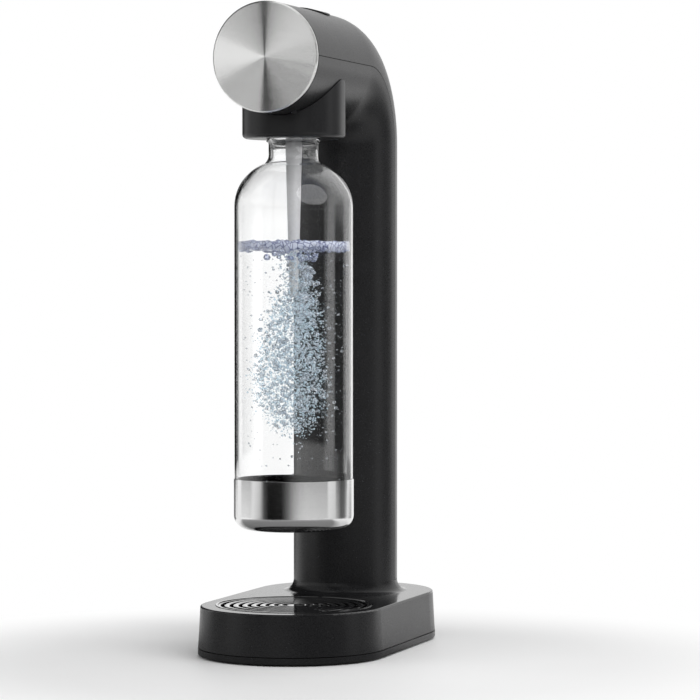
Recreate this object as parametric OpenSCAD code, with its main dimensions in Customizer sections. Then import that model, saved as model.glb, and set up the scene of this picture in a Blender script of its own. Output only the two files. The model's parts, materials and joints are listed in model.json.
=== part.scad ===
// Soda carbonator: a bent-tube body on a stadium-shaped base, a tilting bottle
// holder under the head, a gas cylinder inside the column and a round drip tray.
// Millimetres. Front is -Y, up is +Z, the origin is on the ground under the
// middle of the base.

/* [Column and head] */
// Outside radius of the column and head tube
tube_r = 35.5; // [35:0.1:36]
// Wall thickness of the moulded housings
wall = 2.5; // [2.3:0.1:2.6]
// Height of the head's axis above the ground
head_z = 387.5; // [387:0.5:390]
// Centre-line radius of the bend between column and head
bend_r = 50; // [49.5:0.5:50.5]
// Distance from the bottle's axis to the column's axis
reach = 104; // [103:0.5:106]
// Gap that shows along the seam between the two housings
seam_gap = 0.4; // [0.2:0.1:0.6]

/* [Base] */
// Half width of the base at its top edge
base_r = 60.5; // [60:0.1:61]
// Distance between the centres of the base's two round ends
base_len = 104.8; // [104:0.2:106]
// Height of the base's top face
base_top = 33; // [32.5:0.1:33.5]
// Outward slope of the base's side, per side
draft = 1.6; // [0.5:0.1:2]
// Radius of the fillet at the foot of the column
foot_fillet = 7.5; // [5:0.5:8]

/* [Drip tray] */
// Radius of the round drip tray
tray_r = 51.3; // [50:0.1:51.5]
// Distance between one ring slot of the grille and the next
slot_pitch = 5.85; // [5.5:0.05:6]
// Width of each ring slot
slot_w = 2.6; // [2:0.1:3]
// Number of ring slots
slot_rings = 8; // [5:1:8]
// Number of spokes under the rings
spokes = 12; // [8:1:16]

/* [Bottle] */
// Outside radius of the clear bottle
bottle_r = 38.95; // [38:0.05:39]
// Outside radius of the steel cup around its foot
cup_r = 39.45; // [39.3:0.05:40]
// Height of the underside of the cup
cup_z = 82.6; // [80:0.1:84]
// Height of the cup's rim
cup_rim_z = 115.8; // [110:0.1:120]
// Wall of the bottle
bottle_wall = 1.1; // [0.8:0.1:1.5]

/* [Bottle holder] */
// Half width of the holder, side to side
holder_x = 33.8; // [32:0.1:34]
// Half depth of the holder, front to back
holder_y = 27; // [26.5:0.5:27.5]
// Radius of its upright corners
holder_corner = 26; // [20:0.5:26]
// Height of its underside
holder_z = 337.6; // [337.4:0.1:338]

/* [Gas cylinder] */
// Outside radius of the gas cylinder
gas_r = 30; // [29:0.5:30]
// Height of the cylinder's foot when it is screwed in
gas_z = 14; // [13.9:0.1:14.1]
// Overall length of the cylinder with its valve
gas_len = 356.7; // [356.5:0.1:356.9]

/* [Button] */
// Radius of the round button on top of the head
button_r = 16; // [14:0.5:16]
// Distance of the button behind the bottle's axis
button_back = 23; // [20:1:26]
// How far the button stands proud of the head
button_proud = 0.9; // [0.4:0.1:2]

/* [Hidden] */
$fn = 96;

// Clearances
run = 0.05;          // radial clearance of a running fit
free = 0.3;          // gap between parts that only pass each other
big = 400;           // larger than the object, for cutting boxes

// Where the main axes stand
bottle_y = -50;
col_y = bottle_y + reach;
bend_y = col_y - bend_r;
bend_z = head_z - bend_r;
inner_r = tube_r - wall;
head_front = -101.3;                 // front rim of the head tube
cover_foot = base_top + foot_fillet + seam_gap;

// Base
foot_h = 1;                          // ground clearance under the base
plate_top = 5.4;                     // top of the band that the base plate shows
shell_foot = 5.9;                    // lower rim of the base moulding
edge_r = 1;                          // rounding of the base's top edge
base_foot_r = base_r + draft;
well_r = tray_r + free;              // inside of the tray's well
well_wall = 2.2;
well_floor = 12;
end_y = base_len / 2;
boss_r = 4;
screw_r = 1.3;
base_bosses = [[-22, -92], [22, -92], [-22, 98], [22, 98]];
feet_at = [[0, -103.5], [-46, 0], [46, 0], [0, 103.5]];

// Head: button, lever, valve and holder pivot
button_y = bottle_y + button_back;
stem_foot = 399;                     // lower end of the button's stem
collar_foot = 409.5;                 // lower rim of the button's guide collar
cage_floor = 400.5;
lever_top = 399.1;                   // highest point of the trigger lever
pivot = [69, 367];                   // lever pivot: y and z
lever_t = 2;                         // thickness of the lever's sheet
plunger_top = 389;
heel_y = 58;                         // back end of the lever's web
lever_heel = plunger_top + 0.1;      // its underside there, just over the plunger
block_r = 13.5;
block_foot = gas_z + gas_len - 13.7 + 0.2;
block_top = 382;
thread_r = 10.4;
gasket_z = gas_z + gas_len;
gasket_t = 2;
holder_pivot = [-80, 362];           // holder pivot: y and z
pin_r = 2;
lug_x = 10;                          // middle of the holder's two lugs

// Holder and nozzle
saddle_r = tube_r + 0.4;
holder_edge = 3;                     // rounding of the holder's lower edge
neck_r = 15.6;                       // bottle neck above its flange
neck_bore = 13.6;
neck_top = 357;
bead_r = 16.9;
bead_z = 347.5;
collar_r = 20.6;
clip_z = 345.6;
clip_wire = 0.9;
clip_back = 5;                       // centre of the clip's bend behind the axis
hub_z = 360;                         // underside of the nozzle's hub
hub_top = 365;
tube_foot = 240;                     // lower end of the nozzle tube
window_r = 23;                       // opening in the head over the holder

// Hose: where it meets the fitting and the nozzle's spigot
hose_from = [0, col_y - block_r + 2 - 10.4, 377];
hose_to = [0, bottle_y + 12, 370];

// Bottle: shoulder arc, neck and flange
shoulder_z = 293.3;                  // top of the straight side
shoulder_r = 30;
neck_foot_r = 16.5;                  // neck below the flange
neck_fillet = 7;
neck_foot_z = neck_start(bottle_r, shoulder_z, shoulder_r, neck_foot_r, neck_fillet);
flange_z = 335.2;

// Gas cylinder
gas_shoulder = 285;                  // height of its straight side above its foot
gas_neck_r = 14.2;

// Frame in the head
plate_x = 22;                        // inside face of its side plates
plate_t = 2.5;
frame_posts = [[-28, -86], [28, -86], [-28, -8], [28, -8]];
post_top = 380;
pilot_z = 372.8;                     // foot of the posts' screw holes

// ---- plane shapes -------------------------------------------------------

module ring2d(r_out, r_in) {
    difference() {
        circle(r_out);
        circle(r_in);
    }
}

// Part of a plane shape between two values of its first coordinate.
module band(u0, u1) {
    intersection() {
        children();
        translate([u0, -big]) square([u1 - u0, 2 * big]);
    }
}

// Square with one rounded corner, at high x and low y: the section of a cup.
module cup_section(r, h, corner) {
    translate([0, corner]) square([r, h - corner]);
    square([r - corner, corner + 1]);
    translate([r - corner, corner]) circle(corner);
}

// Shoulder of a round vessel, drawn inward by a skin. An arc rises from the side
// at height z, and a hollow arc of radius fillet carries it into the neck.
function neck_start(r, z, curve, neck, fillet) =
    z + sqrt(pow(curve + fillet, 2) - pow(neck + fillet - r + curve, 2));

module vessel_shoulder(r, z, curve, neck, fillet, skin) {
    below = [r - curve, z];
    beside = [neck + fillet, neck_start(r, z, curve, neck, fillet)];
    meet = below + (curve - skin - 0.5) * unit(beside - below);
    difference() {
        union() {
            intersection() {
                translate(below) circle(curve - skin);
                translate([0, z]) square([r, curve]);
            }
            polygon([[0, z + 1], [below[0], z + 1], meet, beside, [0, beside[1]]]);
        }
        translate(beside) circle(fillet + skin + 0.02);
    }
}

// Part of a plane shape at positive first coordinates.
module half_plane() {
    band(0, big) children();
}

// ---- sweeps -------------------------------------------------------------

// Carries a plane section along the body's path: column, bend, head. The
// section's first coordinate points out of the bend, to the back and the top.
module body_path(z_low, y_front) {
    translate([0, col_y, z_low]) linear_extrude(bend_z - z_low)
        rotate(90) children();
    translate([0, bend_y, bend_z]) rotate([90, 0, 90])
        rotate_extrude(angle = 90) translate([bend_r, 0]) children();
    translate([0, bend_y, head_z]) rotate([90, 0, 0])
        linear_extrude(bend_y - y_front) rotate(90) children();
}

// Carries a section round the base's outline: two half turns and two straights.
module base_sweep() {
    for (s = [-1, 1])
        translate([0, s * end_y, 0]) rotate(s > 0 ? 0 : 180)
            rotate_extrude(angle = 180) children();
    for (s = [0, 1])
        mirror([s, 0, 0]) translate([0, end_y, 0]) rotate([90, 0, 0])
            linear_extrude(base_len) children();
}

// Carries a section round the holder's rounded rectangle.
module holder_sweep() {
    cx = holder_x - holder_corner;
    cy = holder_y - holder_corner;
    for (i = [0 : 3]) {
        a = i * 90;
        sx = (i == 0 || i == 3) ? 1 : -1;
        sy = i < 2 ? 1 : -1;
        translate([sx * cx, sy * cy, 0]) rotate(a)
            rotate_extrude(angle = 90) children();
        len = i % 2 == 0 ? 2 * cy : 2 * cx;
        off = i % 2 == 0 ? cx : cy;
        rotate(a) translate([off, len / 2, 0]) rotate([90, 0, 0])
            linear_extrude(len) children();
    }
}

// A round bar that runs along X.
module bar_x(r, x0, x1, y, z) {
    translate([x0, y, z]) rotate([0, 90, 0]) cylinder(r = r, h = x1 - x0);
}

// A plate in the YZ plane between two x values, from a drawing in (y, z).
module plate_yz(x0, x1) {
    translate([x0, 0, 0]) rotate([90, 0, 90]) linear_extrude(x1 - x0) children();
}

// Points of a closed tube with 8 sides that follows a list of points.
function unit(v) = v / norm(v);
function along(p, i) = unit(p[min(i + 1, len(p) - 1)] - p[max(i - 1, 0)]);
function ring_at(p, i, r, side) =
    let (t = along(p, i), n = unit(cross(t, side)), b = cross(n, t))
    [for (k = [0 : 7]) p[i] + r * (cos(45 * k) * n + sin(45 * k) * b)];

module tube_along(p, r, side = [1, 0, 0]) {
    rings = len(p);
    points = [for (i = [0 : rings - 1]) each ring_at(p, i, r, side)];
    walls = [for (i = [0 : rings - 2], k = [0 : 7])
        [8 * i + k, 8 * i + (k + 1) % 8, 8 * i + 8 + (k + 1) % 8, 8 * i + 8 + k]];
    near = [[for (k = [0 : 7]) 7 - k]];
    far = [[for (k = [0 : 7]) 8 * (rings - 1) + k]];
    polyhedron(points, concat(walls, near, far), convexity = 8);
}

// A compression spring that stands on z = 0, with its wire's centre line on r.
module coil(r, wire, h, turns, steps = 20) {
    n = turns * steps;
    path = [for (i = [0 : n])
        let (a = 360 * i / steps)
        [r * cos(a), r * sin(a), wire + (h - 2 * wire) * i / n]];
    tube_along(path, wire, side = [0, 0, 1]);
}

// ---- housings -----------------------------------------------------------

// Front half of the body: half tube plus the lip that locates the rear cover.
module front_section() {
    band(-tube_r, 0) ring2d(tube_r, inner_r);
    band(-4, 0) ring2d(inner_r + 0.4, inner_r - 1.6);
    band(-4, 2) ring2d(inner_r - free, inner_r - 1.6);
}

module rear_section() {
    band(seam_gap, tube_r) ring2d(tube_r, inner_r);
}

// Section of the base moulding: sloping side, rounded edge and top.
module base_section() {
    difference() {
        union() {
            polygon([[0, shell_foot], [base_foot_r - draft * 0.1, shell_foot],
                [base_r, base_top - edge_r], [0, base_top - edge_r]]);
            translate([0, base_top - edge_r - 0.01])
                square([base_r - edge_r, edge_r + 0.01]);
            translate([base_r - edge_r, base_top - edge_r]) circle(edge_r);
        }
        polygon([[-1, 0], [base_foot_r - wall - 0.2, 0],
            [base_r - wall, base_top - wall], [-1, base_top - wall]]);
    }
}

module foot_flare() {
    translate([0, col_y, base_top - wall]) rotate_extrude() difference() {
        translate([inner_r, 0]) square([wall + foot_fillet, wall + foot_fillet]);
        translate([tube_r + foot_fillet, wall + foot_fillet]) circle(foot_fillet);
        translate([tube_r + foot_fillet - 0.01, wall]) square([1, foot_fillet + 1]);
    }
}

module tray_well() {
    translate([0, bottle_y, well_floor]) difference() {
        cylinder(r = well_r + well_wall, h = base_top - wall / 2 - well_floor);
        translate([0, 0, 2]) cylinder(r = well_r, h = 40);
    }
}

module front_housing() {
    color([0.13, 0.13, 0.14]) difference() {
        union() {
            body_path(base_top - wall, head_front) front_section();
            difference() {
                base_sweep() base_section();
                translate([0, col_y, 20]) cylinder(r = inner_r, h = 20);
                translate([0, bottle_y, 20]) cylinder(r = well_r, h = 20);
            }
            foot_flare();
            tray_well();
            for (p = base_bosses)
                translate([p[0], p[1], shell_foot]) cylinder(r = boss_r,
                    h = (p[1] < 0 ? well_floor + 1 : base_top - 1) - shell_foot);
            for (p = frame_posts)
                intersection() {
                    translate([p[0], p[1], 371]) cylinder(r = 3.1, h = post_top - 371);
                    translate([0, bend_y, head_z]) rotate([90, 0, 0])
                        cylinder(r = tube_r - 0.5, h = bend_y - head_front);
                }
        }
        translate([0, bottle_y - 1.5, 340]) cylinder(r = window_r, h = 30);
        for (s = [-1, 1])
            translate([s * lug_x - 2.3, holder_pivot[0] - 3.2, 348]) cube([4.6, 16.2, 16]);
        for (p = base_bosses)
            translate([p[0], p[1], 0]) cylinder(r = screw_r, h = 11.5);
        for (p = frame_posts)
            translate([p[0], p[1], pilot_z]) cylinder(r = screw_r, h = 20);
    }
}

module rear_cover() {
    color([0.15, 0.15, 0.16]) difference() {
        union() {
            body_path(cover_foot, head_front) rear_section();
            intersection() {
                translate([0, button_y, collar_foot])
                    cylinder(r = button_r + 0.35 + 2.2, h = 20);
                translate([0, button_y + 40, head_z]) rotate([90, 0, 0])
                    cylinder(r = tube_r - wall / 2, h = 80);
            }
        }
        translate([0, button_y, 380]) cylinder(r = button_r + 0.35, h = 60);
    }
}

module base_plate() {
    color([0.11, 0.11, 0.12]) difference() {
        union() {
            base_sweep() difference() {
                union() {
                    translate([0, foot_h + 1]) square([base_foot_r, plate_top - foot_h - 1]);
                    translate([0, foot_h]) square([base_foot_r - 1, 2]);
                    translate([base_foot_r - 1, foot_h + 1]) circle(1);
                    translate([base_foot_r - wall - 2.8, foot_h + 1]) square([1.8, 8]);
                }
                translate([-1, foot_h + 2.2]) square([base_foot_r - wall - 2.8, 20]);
            }
        }
        for (p = base_bosses) translate([p[0], p[1], 0]) {
            translate([0, 0, -1]) cylinder(r = screw_r + 0.3, h = 8);
            translate([0, 0, -1]) cylinder(r = 3.2, h = 3);
        }
        for (p = feet_at) translate([p[0], p[1], 0]) cylinder(r = 7.7, h = foot_h + 1);
    }
}

// Screws that hold the base plate, driven from below.
module base_screws() {
    color([0.55, 0.55, 0.57]) for (p = base_bosses) translate([p[0], p[1], 0]) {
        translate([0, 0, foot_h + 0.2]) difference() {
            cylinder(r = 2.9, h = 0.8);
            translate([0, 0, -1]) cylinder(r = 1.2, h = 1.5, $fn = 6);
        }
        translate([0, 0, foot_h + 1]) cylinder(r = screw_r - run, h = 9);
    }
}

module rubber_feet() {
    color([0.07, 0.07, 0.07]) for (p = feet_at) translate([p[0], p[1], 0])
        rotate_extrude() union() {
            translate([0, 0.6]) square([7.5, foot_h + 0.4]);
            square([6.9, 1]);
            translate([6.9, 0.6]) circle(0.6);
        }
}

// Brushed steel disc that closes the front of the head.
module face_disc() {
    color([0.78, 0.78, 0.78]) translate([0, -102.5, head_z]) rotate([90, 0, 0])
        rotate_extrude() polygon([[0, 0], [tube_r, 0], [tube_r, 1.3],
            [tube_r - 0.9, 2.2], [0, 2.2]]);
}

// Plastic plug behind the disc: a dark gap, then a ring inside both housings.
module disc_carrier() {
    color([0.08, 0.08, 0.08]) translate([0, head_front + 9, head_z])
        rotate([90, 0, 0]) rotate_extrude() difference() {
            union() {
                square([inner_r - 2.0, 9]);
                translate([0, 9]) square([tube_r - 1.2, 1.2]);
            }
            translate([-1, -1]) square([inner_r - 3.2, 7.5]);
        }
}

// ---- button -------------------------------------------------------------

module carbonation_button() {
    color([0.04, 0.04, 0.04]) translate([0, button_y, 0]) {
        difference() {
            intersection() {
                translate([0, 0, 407.5]) cylinder(r = button_r, h = 20);
                translate([0, 20, head_z]) rotate([90, 0, 0])
                    cylinder(r = tube_r + button_proud, h = 40);
            }
            translate([0, 0, 400]) cylinder(r = button_r - 2, h = 16);
        }
        difference() {
            translate([0, 0, 407.5]) cylinder(r = button_r + 1.9, h = 1.7);
            translate([0, 0, 400]) cylinder(r = button_r - 2, h = 16);
        }
        translate([0, 0, stem_foot]) cylinder(r = 3.5, h = 418 - stem_foot);
    }
}

// Cup that hangs on the guide collar and seats the button's spring.
module button_cage() {
    color([0.3, 0.3, 0.32]) translate([0, button_y, cage_floor]) difference() {
        intersection() {
            cylinder(r = button_r + 4.2, h = 11);
            translate([0, 40, head_z - cage_floor]) rotate([90, 0, 0])
                cylinder(r = inner_r - 0.4, h = 80);
        }
        translate([0, 0, 1.5]) cylinder(r = button_r + 2.6, h = 20);
        translate([0, 0, -1]) cylinder(r = 4, h = 20);
    }
}

module button_spring() {
    color([0.7, 0.7, 0.72]) translate([0, button_y, cage_floor + 1.5])
        coil(7, 0.7, 416 - cage_floor - 1.5, 4);
}

// ---- frame, lever and valve ---------------------------------------------

module inner_frame() {
    color([0.35, 0.36, 0.38]) difference() {
        union() {
            for (s = [0, 1]) mirror([s, 0, 0]) {
                plate_yz(plate_x, plate_x + plate_t) {
                    translate([-90, 368]) square([90 + bend_y, 14.4]);
                    intersection() {
                        translate([bend_y, bend_z]) ring2d(44.9, 30.5);
                        translate([bend_y, bend_z]) square(60);
                    }
                    translate([36, block_foot]) square([24, 18]);
                }
                // webs that clasp the valve block
                translate([12, 47, block_foot]) cube([plate_x - 11, 9, 5.4]);
                // arms that carry the holder's pin
                plate_yz(12.4, 15.4) {
                    translate(holder_pivot) circle(3.2);
                    translate([-90, 364]) square([13.2, 12]);
                    translate([holder_pivot[0] - 3.2, 362]) square([6.4, 6]);
                }
            }
            translate([-plate_x - 1, -90, 370]) cube([2 * plate_x + 2, 3, 12.4]);
            translate([-plate_x - 1, -6, 375]) cube([2 * plate_x + 2, 3, 7.4]);
            translate([0, col_y, block_foot]) cylinder(r = block_r + 3, h = 5.4);
            for (p = frame_posts)
                translate([p[0] > 0 ? plate_x : -31, p[1] - 4, post_top])
                    cube([31 - plate_x, 8, 2.4]);
        }
        translate([0, col_y, 340]) cylinder(r = block_r + run, h = 60);
        bar_x(pin_r, -20, 20, holder_pivot[0], holder_pivot[1]);
        for (p = frame_posts)
            translate([p[0], p[1], 370]) cylinder(r = screw_r + 0.3, h = 20);
    }
}

module frame_screws() {
    color([0.6, 0.6, 0.62]) for (p = frame_posts)
        translate([p[0], p[1], post_top + 2.4]) {
            difference() {
                cylinder(r = 2.7, h = 1.7);
                translate([0, 0, 0.8]) cylinder(r = 1.2, h = 2, $fn = 6);
            }
            translate([0, 0, -9]) cylinder(r = screw_r - run, h = 9);
        }
}

module holder_pin() {
    color([0.72, 0.72, 0.74])
        bar_x(pin_r, -15.4, 15.4, holder_pivot[0], holder_pivot[1]);
}

// Pressed-steel lever: a channel that turns on the pin behind the valve block.
module trigger_lever() {
    tip = [button_y - 7, lever_top - lever_t];
    heel = [heel_y, lever_heel];
    color([0.66, 0.67, 0.7]) difference() {
        union() {
            plate_yz(-17.5, 17.5)
                polygon([tip, heel, heel + [0, lever_t], tip + [0, lever_t]]);
            for (s = [0, 1]) mirror([s, 0, 0]) plate_yz(15.5, 17.5) {
                translate(pivot) circle(5);
                polygon([pivot + [-4.8, -1.4], pivot + [4.8, 1.4], heel + [3.5, -5],
                    heel + [0, lever_t], heel + [-9, lever_t]]);
                polygon([tip + [4, 0], tip + [4, -1.5], heel + [-7, -9], heel]);
            }
        }
        bar_x(pin_r + run, -20, 20, pivot[0], pivot[1]);
    }
}

module lever_pin() {
    color([0.72, 0.72, 0.74]) bar_x(pin_r, -19.5, 19.5, pivot[0], pivot[1]);
}

module valve_block() {
    color([0.78, 0.66, 0.38]) difference() {
        union() {
            translate([0, col_y, block_foot])
                cylinder(r = block_r, h = block_top - block_foot);
            translate([-13, 60, pivot[1] - 4]) cube([26, pivot[0] - 56, 8]);
        }
        translate([0, col_y, 350]) cylinder(r = thread_r + run, h = gasket_z + gasket_t - 350);
        translate([0, col_y, 360]) cylinder(r = 3 + run, h = 40);
        bar_x(pin_r, -20, 20, pivot[0], pivot[1]);
        translate([0, col_y, 377]) rotate([90, 0, 0]) cylinder(r = 1.6, h = 20);
    }
}

module valve_plunger() {
    color([0.75, 0.76, 0.78]) translate([0, col_y, 0]) {
        translate([0, 0, 369.1]) cylinder(r = 3, h = plunger_top - 369.1);
        translate([0, 0, plunger_top - 2]) cylinder(r = 5.2, h = 2);
    }
}

module plunger_spring() {
    color([0.7, 0.7, 0.72]) translate([0, col_y, block_top])
        coil(4.1, 0.5, plunger_top - 2 - block_top, 3);
}

module cylinder_gasket() {
    color([0.1, 0.1, 0.1]) translate([0, col_y, gasket_z]) rotate_extrude()
        translate([4.5, 0]) square([thread_r - 4.6, gasket_t]);
}

// Brass spigot that takes the hose at the front of the valve block.
module hose_fitting() {
    color([0.8, 0.65, 0.35]) translate([0, col_y - block_r + 2, 377])
        rotate([90, 0, 0]) difference() {
            union() {
                cylinder(r = 1.6 - 0.01, h = 2);
                translate([0, 0, 2.4]) cylinder(r = 5, h = 3, $fn = 6);
                translate([0, 0, 5.4]) cylinder(r = 3.4, h = 5);
                translate([0, 0, 1.9]) cylinder(r = 1.5, h = 1);
            }
            translate([0, 0, -1]) cylinder(r = 1, h = 20);
        }
}

// Flexible hose from the valve block to the nozzle, with a little slack.
module gas_hose() {
    n = 20;
    from = hose_from - [0, 2, 0];
    to = hose_to + [0, 2, 0];
    path = [for (i = [0 : n])
        let (t = i / n, s = t * t * (3 - 2 * t))
        [0, from[1] + (to[1] - from[1]) * t,
            from[2] + (to[2] - from[2]) * s - 5 * pow(sin(180 * t), 2)]];
    color([0.82, 0.84, 0.86]) tube_along(concat([hose_from], path, [hose_to]), 3);
}

// ---- bottle holder and nozzle -------------------------------------------

module holder_lug() {
    plate_yz(lug_x - 2, lug_x + 2) difference() {
        union() {
            translate(holder_pivot) circle(4.2);
            polygon([[-84.1, 361.2], [-78.6, 354.4], [-76.5, 352], [-76.5, 341],
                [-73.5, 341], [-73.5, 352], [-76.6, 364.4]]);
        }
        translate(holder_pivot) circle(pin_r + run);
    }
}

module bottle_holder() {
    top = head_z - 5;
    color([0.14, 0.14, 0.15]) translate([0, bottle_y, 0]) {
        difference() {
            union() {
                holder_sweep() difference() {
                    translate([0, holder_z]) cup_section(holder_corner, top - holder_z, holder_edge);
                    translate([-1, holder_z + 3])
                        square([holder_corner - wall + 1, 80]);
                }
                translate([-holder_x + holder_corner, -holder_y + holder_corner, holder_z])
                    cube([2 * (holder_x - holder_corner), 2 * (holder_y - holder_corner), 3]);
                for (s = [-1, 1]) translate([s > 0 ? collar_r - 0.3 : -holder_x + 1, -1, holder_z + 1])
                    cube([holder_x - collar_r - 0.7, 2, 16]);
            }
            translate([0, 60, head_z]) rotate([90, 0, 0]) cylinder(r = saddle_r, h = 120);
            translate([0, 0, 330]) cylinder(r = bead_r + 0.5, h = 20);
            translate([0, 0, holder_z + 3]) cylinder(r = collar_r + run, h = 50);
        }
        translate([0, -bottle_y, 0]) for (s = [0, 1]) mirror([s, 0, 0]) holder_lug();
    }
}

// Sleeve round the bottle's neck, slotted at the back for the clip.
module neck_collar() {
    color([0.85, 0.86, 0.87]) translate([0, bottle_y, 0]) difference() {
        translate([0, 0, holder_z + 3]) cylinder(r = collar_r, h = hub_z - holder_z - 3);
        translate([0, 0, 330]) cylinder(r = bead_r + 0.5, h = 60);
        translate([-collar_r, clip_back - 16, clip_z - 1.2])
            cube([2 * collar_r, 40, 2.4]);
    }
}

// Spring-steel wire, bent to a U, that snaps in under the bead of the neck.
module neck_clip() {
    leg_x = neck_r + clip_wire + 0.1;
    color([0.75, 0.75, 0.77]) translate([0, bottle_y, clip_z]) {
        for (s = [-1, 1]) translate([s * leg_x, clip_back, 0]) rotate([90, 0, 0])
            cylinder(r = clip_wire, h = 15);
        translate([0, clip_back, 0]) rotate_extrude(angle = 180)
            translate([leg_x, 0]) circle(clip_wire);
    }
}

module bottle_seal() {
    color([0.12, 0.12, 0.12]) translate([0, bottle_y, neck_top]) rotate_extrude()
        translate([9, 0]) square([bead_r + 0.2 - 9, hub_z - neck_top]);
}

module nozzle_body() {
    color([0.8, 0.81, 0.82]) translate([0, bottle_y, 0]) difference() {
        union() {
            translate([0, 0, hub_z]) cylinder(r = collar_r - 1.2, h = hub_top - hub_z);
            translate([0, 0, 350]) cylinder(r = 7.6, h = 11);
            translate([0, 0, hub_top - 0.5]) cylinder(r = 5, h = 9);
            translate([0, 12, 370]) rotate([90, 0, 0]) cylinder(r = 3, h = 12);
        }
        translate([0, 0, 340]) cylinder(r = 5, h = 16);
        translate([0, 0, 340]) cylinder(r = 1.5, h = 30);
        translate([0, 13, 370]) rotate([90, 0, 0]) cylinder(r = 1.5, h = 13);
        translate([-12.5, 0, hub_z + 1]) cylinder(r = 2, h = 10);
    }
}

// Tapered tube that carries the gas down into the water.
module nozzle_tube() {
    color([0.9, 0.91, 0.92]) translate([0, bottle_y, 0]) difference() {
        union() {
            translate([0, 0, tube_foot])
                cylinder(r1 = 2.95, r2 = 5.9, h = 349.5 - tube_foot);
            translate([0, 0, 349]) cylinder(r = 5 - run, h = 7);
        }
        translate([0, 0, tube_foot - 1]) cylinder(r = 1.5, h = 130);
    }
}

module nozzle_tip() {
    color([0.72, 0.73, 0.75]) translate([0, bottle_y, tube_foot]) difference() {
        union() {
            translate([0, 0, -5]) cylinder(r1 = 1.8, r2 = 2.95, h = 5);
            cylinder(r = 1.5 - 0.02, h = 6);
        }
        translate([0, 0, -10]) cylinder(r = 0.7, h = 20);
    }
}

// Spring-loaded vent on the hub that lets go when the bottle's pressure is too high.
module relief_valve() {
    color([0.8, 0.65, 0.35]) translate([-12.5, bottle_y, 0]) {
        translate([0, 0, hub_z + 2]) cylinder(r = 2 - run, h = hub_top - hub_z - 1);
        translate([0, 0, hub_top]) cylinder(r = 3.8, h = 2.5, $fn = 6);
        translate([0, 0, hub_top + 2.5]) difference() {
            cylinder(r = 2.8, h = 4.5);
            translate([0, 0, 2]) cylinder(r = 1.4, h = 4);
        }
    }
}

// ---- gas cylinder -------------------------------------------------------

// Outline of the aluminium body, from the foot to the neck, drawn inward by a skin.
module gas_outline(skin) {
    translate([0, skin]) cup_section(gas_r - skin, gas_shoulder - skin, 7);
    vessel_shoulder(gas_r, gas_shoulder, 22, gas_neck_r, 12, skin);
}

module gas_cylinder() {
    color([0.76, 0.77, 0.79]) translate([0, col_y, gas_z]) rotate_extrude()
        difference() {
            half_plane() union() {
                gas_outline(0);
                square([gas_neck_r, gas_len - 27.9]);
            }
            half_plane() gas_outline(3.2);
            translate([0, gas_shoulder]) square([8, 60]);
            polygon([[0, 0], [19, 0], [12, 1.8], [0, 2.4]]);
        }
}

module cylinder_valve() {
    color([0.78, 0.62, 0.33]) translate([0, col_y, gas_z]) difference() {
        union() {
            translate([0, 0, 300]) cylinder(r = 7.95, h = 29);
            translate([0, 0, 328.8]) cylinder(r = 13.8 / cos(22.5), h = 12, $fn = 8);
            translate([0, 0, 340]) cylinder(r = 9.4, h = 4);
            translate([0, 0, 343]) cylinder(r = thread_r, h = gas_len - 343);
        }
        translate([0, 0, gas_len - 4]) cylinder(r = 3.6, h = 5);
        translate([0, 0, 290]) cylinder(r = 2, h = 50);
    }
    color([0.7, 0.7, 0.7]) translate([0, col_y, gas_z + gas_len - 5])
        cylinder(r = 1.3, h = 2.6);
}

// Pads glued to the column's inside that keep the cylinder upright.
module cylinder_pads() {
    color([0.2, 0.2, 0.2]) for (z = [62, 262]) translate([0, col_y, z])
        rotate(205) rotate_extrude(angle = 130)
            translate([gas_r + 0.4, 0]) square([inner_r - gas_r - 0.45, 16]);
}

// ---- drip tray ----------------------------------------------------------

module drip_tray() {
    depth = base_top - well_floor - 2.4;
    color([0.12, 0.12, 0.13]) translate([0, bottle_y, base_top - depth])
        rotate_extrude() half_plane() difference() {
            union() {
                cup_section(tray_r, depth, 4);
                translate([tray_r - 1, depth - 1]) square([1, 1.3]);
            }
            translate([0, 1.6]) cup_section(tray_r - 3.2, depth, 3);
            translate([0, depth - 3]) square([tray_r - 1.4, 5]);
        }
}

// One ring of the grille: upright sides and a rounded crown.
module grille_ring(r0, r1, h) {
    w = r1 - r0;
    crown = w * 0.95;
    intersection() {
        translate([r0, 0]) square([w, h]);
        translate([(r0 + r1) / 2, h - crown]) circle(crown);
    }
}

// Concentric rings over spokes, like the ripples round a drop.
module drip_grille() {
    h = 2.8;
    land = slot_pitch - slot_w;
    rim = tray_r - 1.5;
    color([0.12, 0.12, 0.13]) translate([0, bottle_y, base_top - 2.9]) {
        rotate_extrude() {
            translate([0, 0]) square([slot_pitch - slot_w / 2, h - 0.3]);
            for (k = [1 : slot_rings - 1])
                grille_ring(slot_pitch * k + slot_w / 2,
                    slot_pitch * k + slot_w / 2 + land, h);
            grille_ring(slot_pitch * slot_rings + slot_w / 2, rim, h);
        }
        for (i = [0 : spokes - 1]) rotate(360 / spokes * i)
            translate([3, -1, 0]) cube([rim - 4, 2, h - 1.2]);
    }
}

// ---- bottle -------------------------------------------------------------

// Outline of the bottle, drawn inward by a skin.
module bottle_outline(skin) {
    r = bottle_r - skin;
    foot = cup_z + 1.1 + skin;
    translate([0, foot]) cup_section(r - 0.35, cup_rim_z - foot + 1, 9 - skin);
    translate([0, cup_rim_z]) square([r, shoulder_z - cup_rim_z]);
    vessel_shoulder(bottle_r, shoulder_z, shoulder_r, neck_foot_r, neck_fillet, skin);
    translate([0, neck_foot_z - 1]) square([neck_foot_r - skin, 337 - neck_foot_z]);
}

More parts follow.
